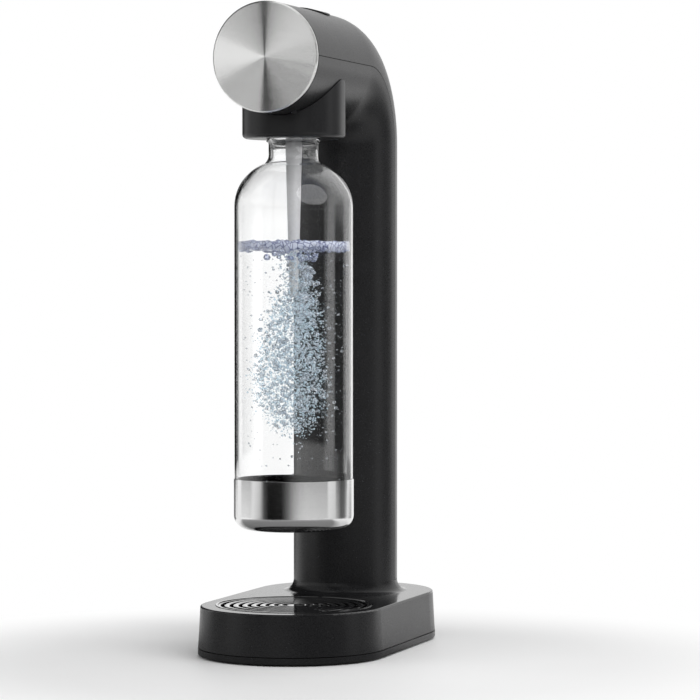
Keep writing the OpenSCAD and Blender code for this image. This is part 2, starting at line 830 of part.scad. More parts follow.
module bottle_shell() {
    color([0.85, 0.93, 0.97, 0.35]) translate([0, bottle_y, 0])
        rotate_extrude() difference() {
            half_plane() union() {
                bottle_outline(0);
                translate([0, flange_z]) square([17.9, 2]);
                translate([0, 336]) square([neck_r, neck_top - 336]);
                translate([0, bead_z]) square([bead_r, 2.4]);
            }
            translate([0, 0]) difference() {
                bottle_outline(bottle_wall);
                translate([-1, 331]) square([40, 30]);
            }
            translate([-1, 330]) square([neck_bore + 1, 60]);
        }
}

module bottle_cup() {
    color([0.77, 0.77, 0.77]) translate([0, bottle_y, cup_z]) rotate_extrude()
        half_plane() difference() {
            cup_section(cup_r, cup_rim_z - cup_z, 9.5);
            translate([0, 0.9]) cup_section(cup_r - 0.75, 60, 8.7);
        }
}

front_housing();
rear_cover();
base_plate();
base_screws();
rubber_feet();
face_disc();
disc_carrier();
carbonation_button();
button_cage();
button_spring();
inner_frame();
frame_screws();
holder_pin();
bottle_holder();
neck_collar();
neck_clip();
bottle_seal();
nozzle_body();
nozzle_tube();
nozzle_tip();
relief_valve();
gas_hose();
hose_fitting();
valve_block();
valve_plunger();
plunger_spring();
cylinder_gasket();
trigger_lever();
lever_pin();
gas_cylinder();
cylinder_valve();
cylinder_pads();
drip_tray();
drip_grille();
bottle_shell();
bottle_cup();
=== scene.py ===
import json
import math

import bpy
import numpy as np
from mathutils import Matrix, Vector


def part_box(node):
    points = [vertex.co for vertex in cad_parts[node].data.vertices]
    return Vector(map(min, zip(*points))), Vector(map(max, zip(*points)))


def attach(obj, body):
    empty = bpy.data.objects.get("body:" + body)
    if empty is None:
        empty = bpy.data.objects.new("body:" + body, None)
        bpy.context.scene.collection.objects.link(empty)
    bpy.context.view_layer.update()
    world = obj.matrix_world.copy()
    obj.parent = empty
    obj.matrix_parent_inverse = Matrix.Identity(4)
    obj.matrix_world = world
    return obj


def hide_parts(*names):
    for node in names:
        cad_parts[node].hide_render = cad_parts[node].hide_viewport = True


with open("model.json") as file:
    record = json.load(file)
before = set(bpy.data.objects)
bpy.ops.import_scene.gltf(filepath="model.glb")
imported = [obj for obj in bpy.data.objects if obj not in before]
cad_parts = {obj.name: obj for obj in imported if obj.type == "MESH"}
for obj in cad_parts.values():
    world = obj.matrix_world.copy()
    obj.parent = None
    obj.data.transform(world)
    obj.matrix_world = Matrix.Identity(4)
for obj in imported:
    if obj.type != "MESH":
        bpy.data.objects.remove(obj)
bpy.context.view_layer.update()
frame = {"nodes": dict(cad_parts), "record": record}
print("frame loaded:", len(frame["nodes"]), "solids")


class Wire:
    # One output of a node. A sum written with it adds the Math node for that sum.
    def __init__(self, graph, socket):
        self.graph = graph
        self.socket = socket

    def part(self, name):
        return Wire(self.graph, self.socket.node.outputs[name])

    def __add__(self, other):
        return self.graph.math("ADD", self, other)

    def __sub__(self, other):
        return self.graph.math("SUBTRACT", self, other)

    def __rsub__(self, other):
        return self.graph.math("SUBTRACT", other, self)

    def __mul__(self, other):
        return self.graph.math("MULTIPLY", self, other)

    __radd__ = __add__
    __rmul__ = __mul__


class Graph:
    # The nodes of one material or of the world. Every method adds a node and gives its output.
    def __init__(self, tree):
        self.tree = tree
        tree.nodes.clear()

    def add(self, kind, settings=None, inputs=None, out=0):
        node = self.tree.nodes.new(kind)
        for key, value in (settings or {}).items():
            if key == "stops":
                self.setStops(node.color_ramp, value)
            else:
                setattr(node, key, value)
        for key, value in (inputs or {}).items():
            if isinstance(value, Wire):
                self.tree.links.new(value.socket, node.inputs[key])
            else:
                node.inputs[key].default_value = value
        return Wire(self, node.outputs[out] if node.outputs else None)

    def setStops(self, ramp, stops):
        while len(ramp.elements) < len(stops):
            ramp.elements.new(0.5)
        for element, (place, level) in zip(ramp.elements, stops):
            element.position = place
            element.color = (level, level, level, 1.0)

    def math(self, operation, a, b=0.0):
        return self.add("ShaderNodeMath", {"operation": operation}, {0: a, 1: b})

    def vector(self, operation, a, b=None, out=0):
        return self.add("ShaderNodeVectorMath", {"operation": operation},
                        {0: a} if b is None else {0: a, 1: b}, out=out)

    def stretch(self, direction, amount):
        return self.add("ShaderNodeVectorMath", {"operation": "SCALE"}, {0: direction, "Scale": amount})

    def along(self, axis, place):
        return self.add("ShaderNodeSeparateXYZ", None, {0: place}, out=axis)

    def noise(self, place, scale, detail=2.0, roughness=0.5):
        return self.add("ShaderNodeTexNoise", {"noise_dimensions": "3D"},
                        {"Vector": place, "Scale": scale, "Detail": detail, "Roughness": roughness})

    def blend(self, factor, a, b):
        # a where the factor is 0, b where it is 1; each is a colour or a wire.
        a, b = [colour if isinstance(colour, Wire) else (*colour, 1.0) for colour in (a, b)]
        return self.add("ShaderNodeMix", {"data_type": "RGBA"}, {0: factor, 6: a, 7: b}, out=2)

    def rise(self, value, ends, start=0.0, finish=1.0, kind="SMOOTHSTEP"):
        # From start to finish while the value goes from one end to the other.
        return self.add("ShaderNodeMapRange", {"interpolation_type": kind}, {
            "Value": value, "From Min": ends[0], "From Max": ends[1], "To Min": start, "To Max": finish})

    def levels(self, share, stops, reach):
        # Brightness at stops from -reach to reach, read at a share from 0 to 1.
        places = [((stop + reach) / (2 * reach), level) for stop, level in stops]
        return self.add("ShaderNodeValToRGB", {"stops": places}, {"Fac": share})

    def bump(self, height, strength, distance):
        return self.add("ShaderNodeBump", None,
                        {"Height": height, "Strength": strength, "Distance": distance})


def newMaterial(name):
    material = bpy.data.materials.new(name)
    material.use_nodes = True
    graph = Graph(material.node_tree)
    return material, graph, graph.add("ShaderNodeTexCoord", out="Object")


def closeMaterial(graph, inputs):
    shader = graph.add("ShaderNodeBsdfPrincipled", None, inputs)
    graph.add("ShaderNodeOutputMaterial", None, {"Surface": shader})


def meshFrom(name, points, faces):
    mesh = bpy.data.meshes.new(name)
    mesh.from_pydata(points.tolist(), [], faces)
    mesh.polygons.foreach_set("use_smooth", np.ones(len(mesh.polygons), dtype=bool))
    mesh.update()
    piece = bpy.data.objects.new(name, mesh)
    bpy.context.scene.collection.objects.link(piece)
    return piece


def arc(centre, radius, start, end, count):
    # Points at centre + radius (cos a, sin a), with a going evenly from start to end in degrees.
    a = np.radians(np.linspace(start, end, count))
    return np.stack([centre[0] + radius * np.cos(a), centre[1] + radius * np.sin(a)], axis=1)


def turned(profile, steps):
    # A point (r, z) becomes (r cos t, r sin t, z) for steps even angles t, one ring after another.
    t = np.linspace(0, 2 * math.pi, steps, endpoint=False)
    points = np.stack([profile[:, :1] * np.cos(t), profile[:, :1] * np.sin(t),
                       np.repeat(profile[:, 1:], steps, axis=1)], axis=2)
    return points.reshape(-1, 3), t


def ringFaces(rings, steps):
    # Four-sided faces between the rings, then a fan to the low pole and one to the high pole.
    # The two poles are the points after the last ring.
    k = np.arange(steps)
    after = (k + 1) % steps
    row = (np.arange(rings - 1) * steps)[:, None]
    quads = np.stack([row + k, row + after, row + steps + after, row + steps + k], axis=2).reshape(-1, 4)
    last = (rings - 1) * steps
    low = np.stack([np.full(steps, rings * steps), after, k], axis=1)
    high = np.stack([np.full(steps, rings * steps + 1), last + k, last + after], axis=1)
    return quads, low, high


def revolve(name, profile, steps, centre, shift=None):
    # The profile (r, z) turned round an upright axis. It starts and ends on the axis, where
    # each pole is one point. shift(r, t, z) is added to every height.
    points, t = turned(profile[1:-1], steps)
    points = np.concatenate([points, [[0, 0, profile[0, 1]], [0, 0, profile[-1, 1]]]])
    if shift is not None:
        rings = len(profile) - 2
        radii = np.append(np.repeat(profile[1:-1, 0], steps), [0, 0])
        points[:, 2] += shift(radii, np.append(np.tile(t, rings), [0, 0]), points[:, 2])
    quads, low, high = ringFaces(len(profile) - 2, steps)
    faces = quads.tolist() + low.tolist() + high.tolist()
    return meshFrom(name, points + np.array([*centre, 0]), faces)


def ballTemplate(segments, rings):
    # Unit ball of triangles: rings of latitude between two poles, each with segments points.
    latitude = np.radians(np.linspace(-90, 90, rings + 2)[1:-1])
    points = turned(np.stack([np.cos(latitude), np.sin(latitude)], axis=1), segments)[0]
    quads, low, high = ringFaces(rings, segments)
    return (np.concatenate([points, [[0, 0, -1], [0, 0, 1]]]),
            np.concatenate([quads[:, [0, 1, 2]], quads[:, [0, 2, 3]], low, high]))


def scatterBalls(name, centres, radii, flat, ball, warp=0.0, waves=1500.0):
    # Every centre gets a copy of the unit ball, scaled by its radius and by flat in height.
    # The warp then moves every point p by warp * sin(waves p'), with p' the point with its axes
    # swapped round.
    template, faces = ballTemplate(*ball)
    wide = np.ones_like(flat)
    sizes = radii[:, None, None] * np.stack([wide, wide, flat], axis=1)[:, None, :]
    points = (centres[:, None, :] + template[None, :, :] * sizes).reshape(-1, 3)
    points = points + warp * np.sin(waves * np.roll(points, 1, axis=1))
    starts = (np.arange(len(centres)) * len(template))[:, None, None]
    return meshFrom(name, points, (faces[None, :, :] + starts).reshape(-1, 3).tolist())


cameraValues = {
    "place": (0.6753, -1.9210, 0.2473),
    "turn": 18.79,          # degrees to the right of the front
    "tip": 1.369,           # degrees downwards
    "lens": 156.49,
    "sensor": 36.0,
}


def makeCamera(values):
    data = bpy.data.cameras.new("camera")
    data.lens = values["lens"]
    data.sensor_width = values["sensor"]
    camera = bpy.data.objects.new("camera", data)
    camera.location = values["place"]
    camera.rotation_euler = (math.radians(90 - values["tip"]), 0, math.radians(values["turn"]))
    bpy.context.scene.collection.objects.link(camera)
    bpy.context.scene.camera = camera


makeCamera(cameraValues)
bpy.context.scene.view_settings.view_transform = "Standard"
print("camera set")


studioValues = {
    # Bearing in degrees from the front towards the right, and brightness: one list for each
    # band of directions, from those that look down to those that look up.
    "bands": [
        [(-180, 0.95), (22, 0.85), (108, 0.9), (116, 0.3), (138, 0.3), (146, 0.95), (180, 0.95)],
        [(-180, 1.12), (-151, 1.12), (-146, 0.2), (-132, 0.2), (-128, 0.95), (-85, 1.05),
         (-68, 0.98), (-53, 0.62), (-40, 0.12), (-30, 0.0), (-4, 0.0), (2, 0.08), (9, 0.22),
         (19, 0.58), (30, 0.86), (42, 0.98), (78, 0.88), (91, 0.85), (106, 0.7), (121, 0.15),
         (132, 0.2), (144, 0.9), (158, 0.4), (170, 1.1), (180, 1.12)],
        [(-180, 1.12), (-153, 1.12), (-150, 0.01), (-119, 0.01), (-116, 1.1), (-104, 1.1),
         (-98, 0.05), (-72, 0.05), (-64, 0.9), (-48, 0.9), (-40, 0.01), (9, 0.04), (86, 0.04),
         (89, 0.9), (105, 0.9), (108, 0.02), (141, 0.02), (145, 1.12), (180, 1.12)],
        [(-180, 1.12), (-153, 1.12), (-150, 0.01), (-119, 0.01), (-116, 1.1), (-104, 1.1),
         (-98, 0.05), (-74, 0.05), (-66, 1.0), (-48, 1.0), (-42, 0.01), (9, 0.04), (86, 0.04),
         (89, 0.9), (105, 0.9), (108, 0.02), (141, 0.02), (145, 1.12), (180, 1.12)],
        [(-180, 0.97), (-152, 0.97), (-148, 0.01), (-119, 0.01), (-116, 0.95), (-68, 1.0),
         (-10, 0.75), (14, 0.7), (28, 0.08), (88, 0.08), (92, 0.9), (105, 0.9), (112, 0.45),
         (138, 0.45), (146, 0.95), (180, 0.95)],
        [(-180, 0.95), (-158, 0.95), (-151, 0.02), (-100, 0.02), (-92, 0.5), (-66, 0.5),
         (-25, 0.5), (0, 0.7), (22, 0.7), (32, 0.06), (92, 0.06), (102, 0.85), (180, 0.95)],
    ],
    # Heights z of the direction between which each band turns into the next.
    "edges": [(-0.25, -0.21), (-0.0675, -0.0635), (-0.02, -0.012), (0.026, 0.038), (0.28, 0.38)],
    # Two upright black strips in front, by the x of the direction: one high and one low.
    "highStrip": [(-1.0, 1.0), (-0.41, 1.0), (-0.372, 0.02), (-0.325, 0.02), (-0.29, 1.0), (1.0, 1.0)],
    "highEdge": (0.035, 0.05),
    "lowStrip": [(-1.0, 1.0), (-0.41, 1.0), (-0.37, 0.03), (-0.31, 0.03), (-0.22, 0.35), (0.0, 0.65),
                 (1.0, 0.9)],
    "lowEdge": (-0.18, -0.13),
    "frontEdge": (0.1, 0.3),
    "ceiling": 0.8,
    "ceilingEdge": (0.9, 0.99),
    "lamps": [              # place, width, watts
        ((1.6, -0.9, 1.55), 2.4, 42.0),
        ((-1.5, -0.9, 1.2), 1.4, 4.0),
    ],
    "lampAim": (0.0, 0.0, 0.2),
}


def makeWorld(values):
    # Brightness depends on the bearing atan2(x, -y) and on the height z of the direction:
    # white screens all round, dark cards between them, and the plain white background behind.
    world = bpy.data.worlds.new("studio")
    bpy.context.scene.world = world
    world.use_nodes = True
    graph = Graph(world.node_tree)
    way = graph.add("ShaderNodeSeparateXYZ", None, {0: graph.add("ShaderNodeTexCoord", out="Generated")})
    x, y, z = [way.part(axis) for axis in "XYZ"]
    bearing = graph.math("ARCTAN2", x, y * -1.0) * (0.5 / math.pi) + 0.5
    around, *others = [graph.levels(bearing, band, 180.0) for band in values["bands"]]
    for edge, band in zip(values["edges"], others):
        around = graph.blend(graph.rise(z, edge), around, band)
    front = graph.rise(y * -1.0, values["frontEdge"])
    across = x * 0.5 + 0.5
    for strip, share in (("highStrip", graph.rise(z, values["highEdge"])),
                         ("lowStrip", 1.0 - graph.rise(z, values["lowEdge"]))):
        card = graph.vector("MULTIPLY", around, graph.levels(across, values[strip], 1.0))
        around = graph.blend(share * front, around, card)
    screens = graph.blend(graph.rise(z, values["ceilingEdge"]), around, (values["ceiling"],) * 3)
    studio = graph.add("ShaderNodeBackground", None, {"Color": screens, "Strength": 1.0})
    plain = graph.add("ShaderNodeBackground", None, {"Color": (1, 1, 1, 1), "Strength": 1.0})
    seen = graph.add("ShaderNodeLightPath", out="Is Camera Ray")
    both = graph.add("ShaderNodeMixShader", None, {0: seen, 1: studio, 2: plain})
    graph.add("ShaderNodeOutputWorld", None, {"Surface": both})


def makeLamps(values):
    for number, (spot, width, watts) in enumerate(values["lamps"]):
        name = "lamp%d" % number
        lamp = bpy.data.lights.new(name, "AREA")
        lamp.shape = "DISK"
        lamp.size = width
        lamp.energy = watts
        piece = bpy.data.objects.new(name, lamp)
        piece.location = spot
        aim = np.array(values["lampAim"]) - np.array(spot)
        piece.rotation_euler = (math.atan2(math.hypot(aim[0], aim[1]), -aim[2]), 0,
                                math.atan2(aim[1], aim[0]) - math.pi / 2)
        piece.visible_camera = False
        piece.visible_glossy = False
        bpy.context.scene.collection.objects.link(piece)


makeWorld(studioValues)
makeLamps(studioValues)


floorValues = {
    "radius": 0.46, "thick": 0.002, "rings": 12, "steps": 96,
    "shade": 0.86, "speck": 0.03, "grain": 9.0, "roughness": 0.55, "gloss": 0.25,
    "middle": (0.0265, -0.0755, 0.0),
    "fade": (0.17, 0.34),           # distances from the middle: shadowed floor, then plain white
    "paintedShade": (0.40, 0.46),           # distances up to which mirrors see painted shade, a darker floor in front
    "paintedShadeShare": 0.85, "paintedShadeLevel": 0.16,
    "frontEdge": (-0.02, 0.05),     # y at which the painted shade in front ends
}


def makeFloor(values):
    # A flat disc: (r cos t, r sin t, 0), whose rim melts into the white behind it.
    rings = values["rings"]
    across = np.stack([np.linspace(values["radius"], 0, rings), np.zeros(rings)], axis=1)
    under = [[0, -values["thick"]], [values["radius"], -values["thick"]]]
    floor = revolve("floor", np.concatenate([under, across]), values["steps"], (0, 0))
    material, graph, place = newMaterial("paleFloor")
    out = graph.vector("LENGTH", graph.vector("SUBTRACT", place, values["middle"]), out="Value")
    shade = values["shade"]
    grain = graph.noise(place, values["grain"], 3.0)
    tone = graph.blend(grain, (shade,) * 3, (shade + values["speck"],) * 3)
    matte = graph.add("ShaderNodeBsdfPrincipled", None, {
        "Base Color": tone, "Roughness": values["roughness"], "Specular IOR Level": values["gloss"]})
    # Painted shade: reflections near the machine's front see this darker floor, which stands in for
    # contact shadow.
    paintedShadeShader = graph.add("ShaderNodeBsdfDiffuse", None, {"Color": (values["paintedShadeLevel"],) * 3 + (1.0,)})
    white = graph.add("ShaderNodeEmission", None, {"Color": (1, 1, 1, 1), "Strength": 1.0})
    rays = graph.add("ShaderNodeLightPath")
    mirrored = rays.part("Is Glossy Ray")
    seen = graph.math("MAXIMUM", rays.part("Is Camera Ray"),
                      graph.math("MAXIMUM", mirrored, rays.part("Is Transmission Ray")))
    near = graph.rise(out, values["paintedShade"], values["paintedShadeShare"], 0.0)
    inFront = graph.rise(graph.along("Y", place), values["frontEdge"], 1.0, 0.0, "LINEAR")
    paintedShade = mirrored * near * inFront
    lower = graph.add("ShaderNodeMixShader", None, {0: paintedShade, 1: matte, 2: paintedShadeShader})
    edge = graph.rise(out, values["fade"])
    both = graph.add("ShaderNodeMixShader", None, {0: seen * edge * (1.0 - paintedShade), 1: lower, 2: white})
    graph.add("ShaderNodeOutputMaterial", None, {"Surface": both})
    floor.data.materials.append(material)


makeFloor(floorValues)
print("studio and floor made")


mouldValues = {"cloud": 40.0, "grainEnds": (0.3, 0.7), "grainShare": 0.65, "cloudSpread": 0.05,
               "deckBelt": (0.0012, 0.0018)}
drawnValues = {"cloud": 60.0, "cloudShare": 0.5, "spread": 0.2, "bump": 0.3, "depth": 0.00003}


def mouldedPlastic(name, values):
    # Tone = grainShare of fine grain, the rest slow cloud. Height = grain of the eroded mould.
    # Roughness follows both, and drops by deckPolish within the belt round the height deck.
    material, graph, place = newMaterial(name)
    share, spread = mouldValues["grainShare"], mouldValues["cloudSpread"]
    grain = graph.noise(place, values["grain"], 2.0, 0.65)
    cloud = graph.noise(place, mouldValues["cloud"], 3.0)
    speck = graph.rise(grain, mouldValues["grainEnds"], kind="LINEAR")
    tone = speck * share + cloud * (1.0 - share)
    gloss = (speck - 0.5) * values["spread"] + cloud * spread + (values["roughness"] - spread / 2)
    if "deck" in values:
        away = graph.math("ABSOLUTE", graph.along("Z", place) - values["deck"])
        gloss = gloss - graph.rise(away, mouldValues["deckBelt"], values["deckPolish"], 0.0, "LINEAR")
    closeMaterial(graph, {
        "Base Color": graph.blend(tone, values["dark"], values["light"]),
        "Roughness": gloss,
        "Specular IOR Level": values["gloss"],
        "Coat Weight": values.get("coat", 0.0),
        "Normal": graph.bump(grain, values["bump"], values["depth"]),
    })
    return material


def brushedDisc(name, values):
    # Countless rings round an axis: every sample gets its own tilt across the rings,
    # from a little inward to far outward, and the whole face leans back by a hair.
    # Faint rings show in tone and gloss alone.
    material, graph, place = newMaterial(name)
    local = graph.vector("SUBTRACT", place, values["centre"])
    axis = values["axis"]
    height = graph.vector("DOT_PRODUCT", local, axis, out="Value")
    outward = graph.vector("SUBTRACT", local, graph.stretch(axis, height))
    radius = graph.vector("LENGTH", outward, out="Value")
    spoke = graph.vector("NORMALIZE", outward)
    rings = graph.vector("ADD", graph.stretch(spoke, values["arcs"]),
                         graph.stretch(axis, (height - radius) * values["rings"]))
    ring = graph.noise(rings, 1.0, 3.0, 0.7)
    around = graph.add("ShaderNodeVectorTransform", {
        "vector_type": "VECTOR", "convert_from": "OBJECT", "convert_to": "WORLD"},
        {0: graph.vector("CROSS_PRODUCT", axis, spoke)})
    facing = graph.add("ShaderNodeNewGeometry", out="Normal")
    sideways = graph.vector("CROSS_PRODUCT", around, facing)
    chance = graph.add("ShaderNodeTexWhiteNoise", None,
                       {"Vector": graph.stretch(place, values["samples"])}, out="Value")
    tilt = chance * (values["tiltOut"] - values["tiltIn"]) + values["tiltIn"]
    leaning = graph.vector("ADD", facing, values["lean"])
    normal = graph.vector("NORMALIZE", graph.vector("ADD", leaning, graph.stretch(sideways, tilt)))
    closeMaterial(graph, {
        "Base Color": graph.blend(ring, values["dark"], values["light"]),
        "Metallic": 1.0,
        "Roughness": (ring - 0.5) * values["spread"] + values["roughness"],
        "Normal": normal,
    })
    return material


def spunSteel(name, values):
    # Rings round Z: the anisotropy stretches reflections up and down, lines show in tone and gloss.
    material, graph, place = newMaterial(name)
    wide = values["arcs"]
    lines = graph.add("ShaderNodeMapping", None, {"Vector": place, "Scale": (wide, wide, values["rings"])})
    ring = graph.noise(lines, 1.0, 3.0, 0.7)
    closeMaterial(graph, {
        "Base Color": graph.blend(ring, values["dark"], values["light"]),
        "Metallic": 1.0,
        "Roughness": (ring - 0.5) * values["spread"] + values["roughness"],
        "Anisotropic": values["stretch"],
        "Anisotropic Rotation": 0.25,
        "Normal": graph.bump(ring, values["bump"], values["depth"]),
    })
    return material


def satinMetal(name, values):
    # Tone = half drawn lines along Z, half slow cloud. Roughness and height follow the lines.
    material, graph, place = newMaterial(name)
    drawn = graph.add("ShaderNodeMapping", None, {"Vector": place, "Scale": (1.0, 1.0, values["drawn"])})
    line = graph.noise(drawn, values["grain"], 3.0, 0.6)
    cloud = graph.noise(place, drawnValues["cloud"], 3.0)
    share = drawnValues["cloudShare"]
    closeMaterial(graph, {
        "Base Color": graph.blend(cloud * share + line * (1.0 - share), values["dark"], values["light"]),
        "Metallic": 1.0,
        "Roughness": (line - 0.5) * drawnValues["spread"] + values["roughness"],
        "Normal": graph.bump(line, drawnValues["bump"], drawnValues["depth"]),
    })
    return material


def clearPlastic(name, values):
    # Almost clear: a slow cloud changes tint, gloss and surface by a hair. Lines of the colour rim
    # run between cells, as wide as a given width: painted shade for the dark outlines of foam bubbles.
    # Below a given height the tint darkens: painted shade for the bottle's wall inside the cup.
    # The share milk of the light is scattered.
    material, graph, place = newMaterial(name)
    cloud = graph.noise(place, values["cloud"], 2.0)
    tint = graph.blend(cloud, values["dark"], values["light"])
    if "cells" in values:
        # Painted shade: dark lines between cells stand in for the outlines that foam bubbles show by
        # refraction.
        cell = graph.add("ShaderNodeTexVoronoi", {"feature": "DISTANCE_TO_EDGE"},
                         {"Vector": place, "Scale": values["cells"]}, out="Distance")
        tint = graph.blend(graph.rise(cell, values["paintedOutlineWidth"], kind="LINEAR"), values["rim"], tint)
    if "paintedCupShadeTop" in values:
        # Painted shade: below this height the wall's tint darkens, as in the shadow inside the cup.
        belt = (values["paintedCupShadeTop"] - values["paintedCupShadeFade"], values["paintedCupShadeTop"])
        tint = graph.blend(graph.rise(graph.along("Z", place), belt), values["paintedCupShade"], tint)
    closeMaterial(graph, {
        "Base Color": tint,
        "Roughness": cloud * values["haze"],
        "IOR": values["bend"],
        "Transmission Weight": 1.0 - values.get("milk", 0.0),
        "Specular IOR Level": values["gloss"],
        "Normal": graph.bump(cloud, 0.2, values["wave"]),
    })
    return material


plasticValues = {
    "housing_plastic": {"dark": (0.004, 0.004, 0.0045), "light": (0.016, 0.016, 0.017), "grain": 1500.0,
                        "roughness": 0.3, "spread": 0.12, "gloss": 0.3, "bump": 0.5, "depth": 0.00005,
                        "deck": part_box("drip_tray")[1].z, "deckPolish": 0.2},
    "holder_plastic": {"dark": (0.008, 0.008, 0.009), "light": (0.018, 0.018, 0.019), "grain": 1600.0,
                       "roughness": 0.34, "spread": 0.12, "gloss": 0.35, "bump": 0.5, "depth": 0.00003},
    "tray_plastic": {"dark": (0.006, 0.006, 0.0065), "light": (0.012, 0.012, 0.013), "grain": 1300.0,
                     "roughness": 0.08, "spread": 0.04, "gloss": 1.0, "bump": 0.2, "depth": 0.00001,
                     "coat": 1.0},
    "button_plastic": {"dark": (0.002, 0.002, 0.002), "light": (0.004, 0.004, 0.004), "grain": 500.0,
                       "roughness": 0.4, "spread": 0.05, "gloss": 0.12, "bump": 0.05, "depth": 0.00002},
    "dark_plastic": {"dark": (0.006, 0.006, 0.006), "light": (0.012, 0.012, 0.012), "grain": 900.0,
                     "roughness": 0.5, "spread": 0.1, "gloss": 0.3, "bump": 0.3, "depth": 0.00003},
    "frame_plastic": {"dark": (0.07, 0.07, 0.08), "light": (0.11, 0.11, 0.12), "grain": 1200.0,
                      "roughness": 0.5, "spread": 0.15, "gloss": 0.4, "bump": 0.4, "depth": 0.00003},
    "seal_rubber": {"dark": (0.012, 0.012, 0.012), "light": (0.022, 0.022, 0.022), "grain": 700.0,
                    "roughness": 0.75, "spread": 0.1, "gloss": 0.3, "bump": 0.3, "depth": 0.00005},
    "nozzle_plastic": {"dark": (0.43, 0.43, 0.435), "light": (0.51, 0.51, 0.515), "grain": 600.0,
                       "roughness": 0.32, "spread": 0.08, "gloss": 0.5, "bump": 0.1, "depth": 0.00003},
    "collar_plastic": {"dark": (0.50, 0.51, 0.53), "light": (0.58, 0.59, 0.61), "grain": 800.0,
                       "roughness": 0.45, "spread": 0.1, "gloss": 0.5, "bump": 0.2, "depth": 0.00003},
    "hose_plastic": {"dark": (0.68, 0.70, 0.73), "light": (0.80, 0.82, 0.85), "grain": 400.0,
                     "roughness": 0.3, "spread": 0.08, "gloss": 0.5, "bump": 0.1, "depth": 0.00003},
}

discLow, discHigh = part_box("face_disc")
cupLow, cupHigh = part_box("bottle_cup")
shellLow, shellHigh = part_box("bottle_shell")
bottleY = (cupLow.y + cupHigh.y) / 2

discValues = {"centre": (0.0, discLow.y, (discLow.z + discHigh.z) / 2), "axis": (0.0, -1.0, 0.0),
              "dark": (0.87, 0.87, 0.865), "light": (0.93, 0.93, 0.92), "roughness": 0.12, "spread": 0.05,
              "rings": 2600.0, "arcs": 0.6, "samples": 90000.0,
              "tiltIn": -0.1, "tiltOut": 0.48, "lean": (0.0, 0.0, 0.035)}
cupValues = {"dark": (0.72, 0.72, 0.72), "light": (0.82, 0.82, 0.82), "roughness": 0.1, "spread": 0.12,
             "rings": 3800.0, "arcs": 20.0, "stretch": 0.3, "bump": 0.25, "depth": 0.00001}
metalValues = {
    "spring_steel": {"dark": (0.48, 0.48, 0.50), "light": (0.62, 0.62, 0.64), "grain": 900.0,
                     "drawn": 0.1, "roughness": 0.3},
    "zinc_screws": {"dark": (0.44, 0.45, 0.47), "light": (0.58, 0.59, 0.60), "grain": 900.0,
                    "drawn": 1.0, "roughness": 0.35},
    "valve_brass": {"dark": (0.58, 0.40, 0.17), "light": (0.76, 0.57, 0.28), "grain": 1100.0,
                    "drawn": 4.0, "roughness": 0.3},
    "cylinder_aluminium": {"dark": (0.56, 0.57, 0.59), "light": (0.70, 0.71, 0.73), "grain": 900.0,
                           "drawn": 0.05, "roughness": 0.36},
}
clearValues = {"dark": (0.985, 0.99, 0.99), "light": (1.0, 1.0, 1.0), "cloud": 25.0, "haze": 0.004,
               "bend": 1.5, "gloss": 0.42, "wave": 0.00005,
               # painted shade: the wall's tint darkens below the cup's rim
               "paintedCupShade": (0.2, 0.2, 0.21), "paintedCupShadeTop": cupHigh.z - 0.0005, "paintedCupShadeFade": 0.0015}

finishes = {name: mouldedPlastic(name, values) for name, values in plasticValues.items()}
finishes["disc_steel"] = brushedDisc("disc_steel", discValues)
finishes["cup_steel"] = spunSteel("cup_steel", cupValues)
finishes.update({name: satinMetal(name, values) for name, values in metalValues.items()})
finishes["bottle_clear"] = clearPlastic("bottle_clear", clearValues)
finishes["bottle_inside"] = clearPlastic("bottle_inside", {**clearValues, "gloss": 0.1})

for part in frame["record"]["subparts"]:
    for place in frame["nodes"][part["node"]].material_slots:
        place.material = finishes[part["material_slot"]]


bottleValues = {            # radii, and heights above the bottle's foot
    "side": shellHigh.x, "wall": 0.0012, "footInset": 0.0004, "footCorner": 0.009,
    "sideLow": 0.034, "sideHigh": 0.12,
    "shoulder": 0.2096, "shoulderCurve": 0.030, "swell": 0.0007,
    "neck": 0.0165, "neckFillet": 0.007, "neckWall": 0.0015,
    "flange": 0.0179, "flangeFoot": 0.2505, "flangeLow": 0.2515, "flangeHigh": 0.2535,
    "finish": 0.0156, "bead": 0.0169, "beadLow": 0.2638, "beadMiddle": 0.2658, "beadHigh": 0.2668,
    "bore": 0.0136, "boreLow": 0.2575, "boreHigh": 0.2605, "top": shellHigh.z - shellLow.z,
    "edge": 0.0004, "steps": 144,
}


def bottleProfile(values, skin, thick, swell):
    # Foot corner, side, shoulder arc and hollow neck arc. The shoulder is drawn inward by a wall
    # of skin + (thick - skin) t^1.3 + swell sin(pi t^1.4), with t from 0 at the side to 1 at the neck.
    v = values
    drop = v["shoulderCurve"] + v["neckFillet"]
    step = v["neck"] + v["neckFillet"] - v["side"] + v["shoulderCurve"]
    lift = math.sqrt(drop ** 2 - step ** 2)
    angle = math.degrees(math.atan2(lift, step))
    corner = v["footCorner"]
    foot = arc((v["side"] - v["footInset"] - corner, corner), corner - skin, -90, 0, 12)
    side = np.array([[v["side"] - skin, v["sideLow"]], [v["side"] - skin, v["sideHigh"]]])
    centre = np.array([v["side"] - v["shoulderCurve"], v["shoulder"]])
    t = np.linspace(0, 1, 30)
    wall = skin + (thick - skin) * t ** 1.3 + swell * np.sin(math.pi * t ** 1.4)
    outward = arc((0, 0), 1.0, 0, angle, len(t))
    shoulder = centre + outward * (v["shoulderCurve"] - wall)[:, None]
    hollow = arc((v["neck"] + v["neckFillet"], v["shoulder"] + lift), v["neckFillet"] + thick,
                 180 + angle, 180, 18)
    return np.concatenate([[[0, skin]], foot, side, shoulder, hollow])


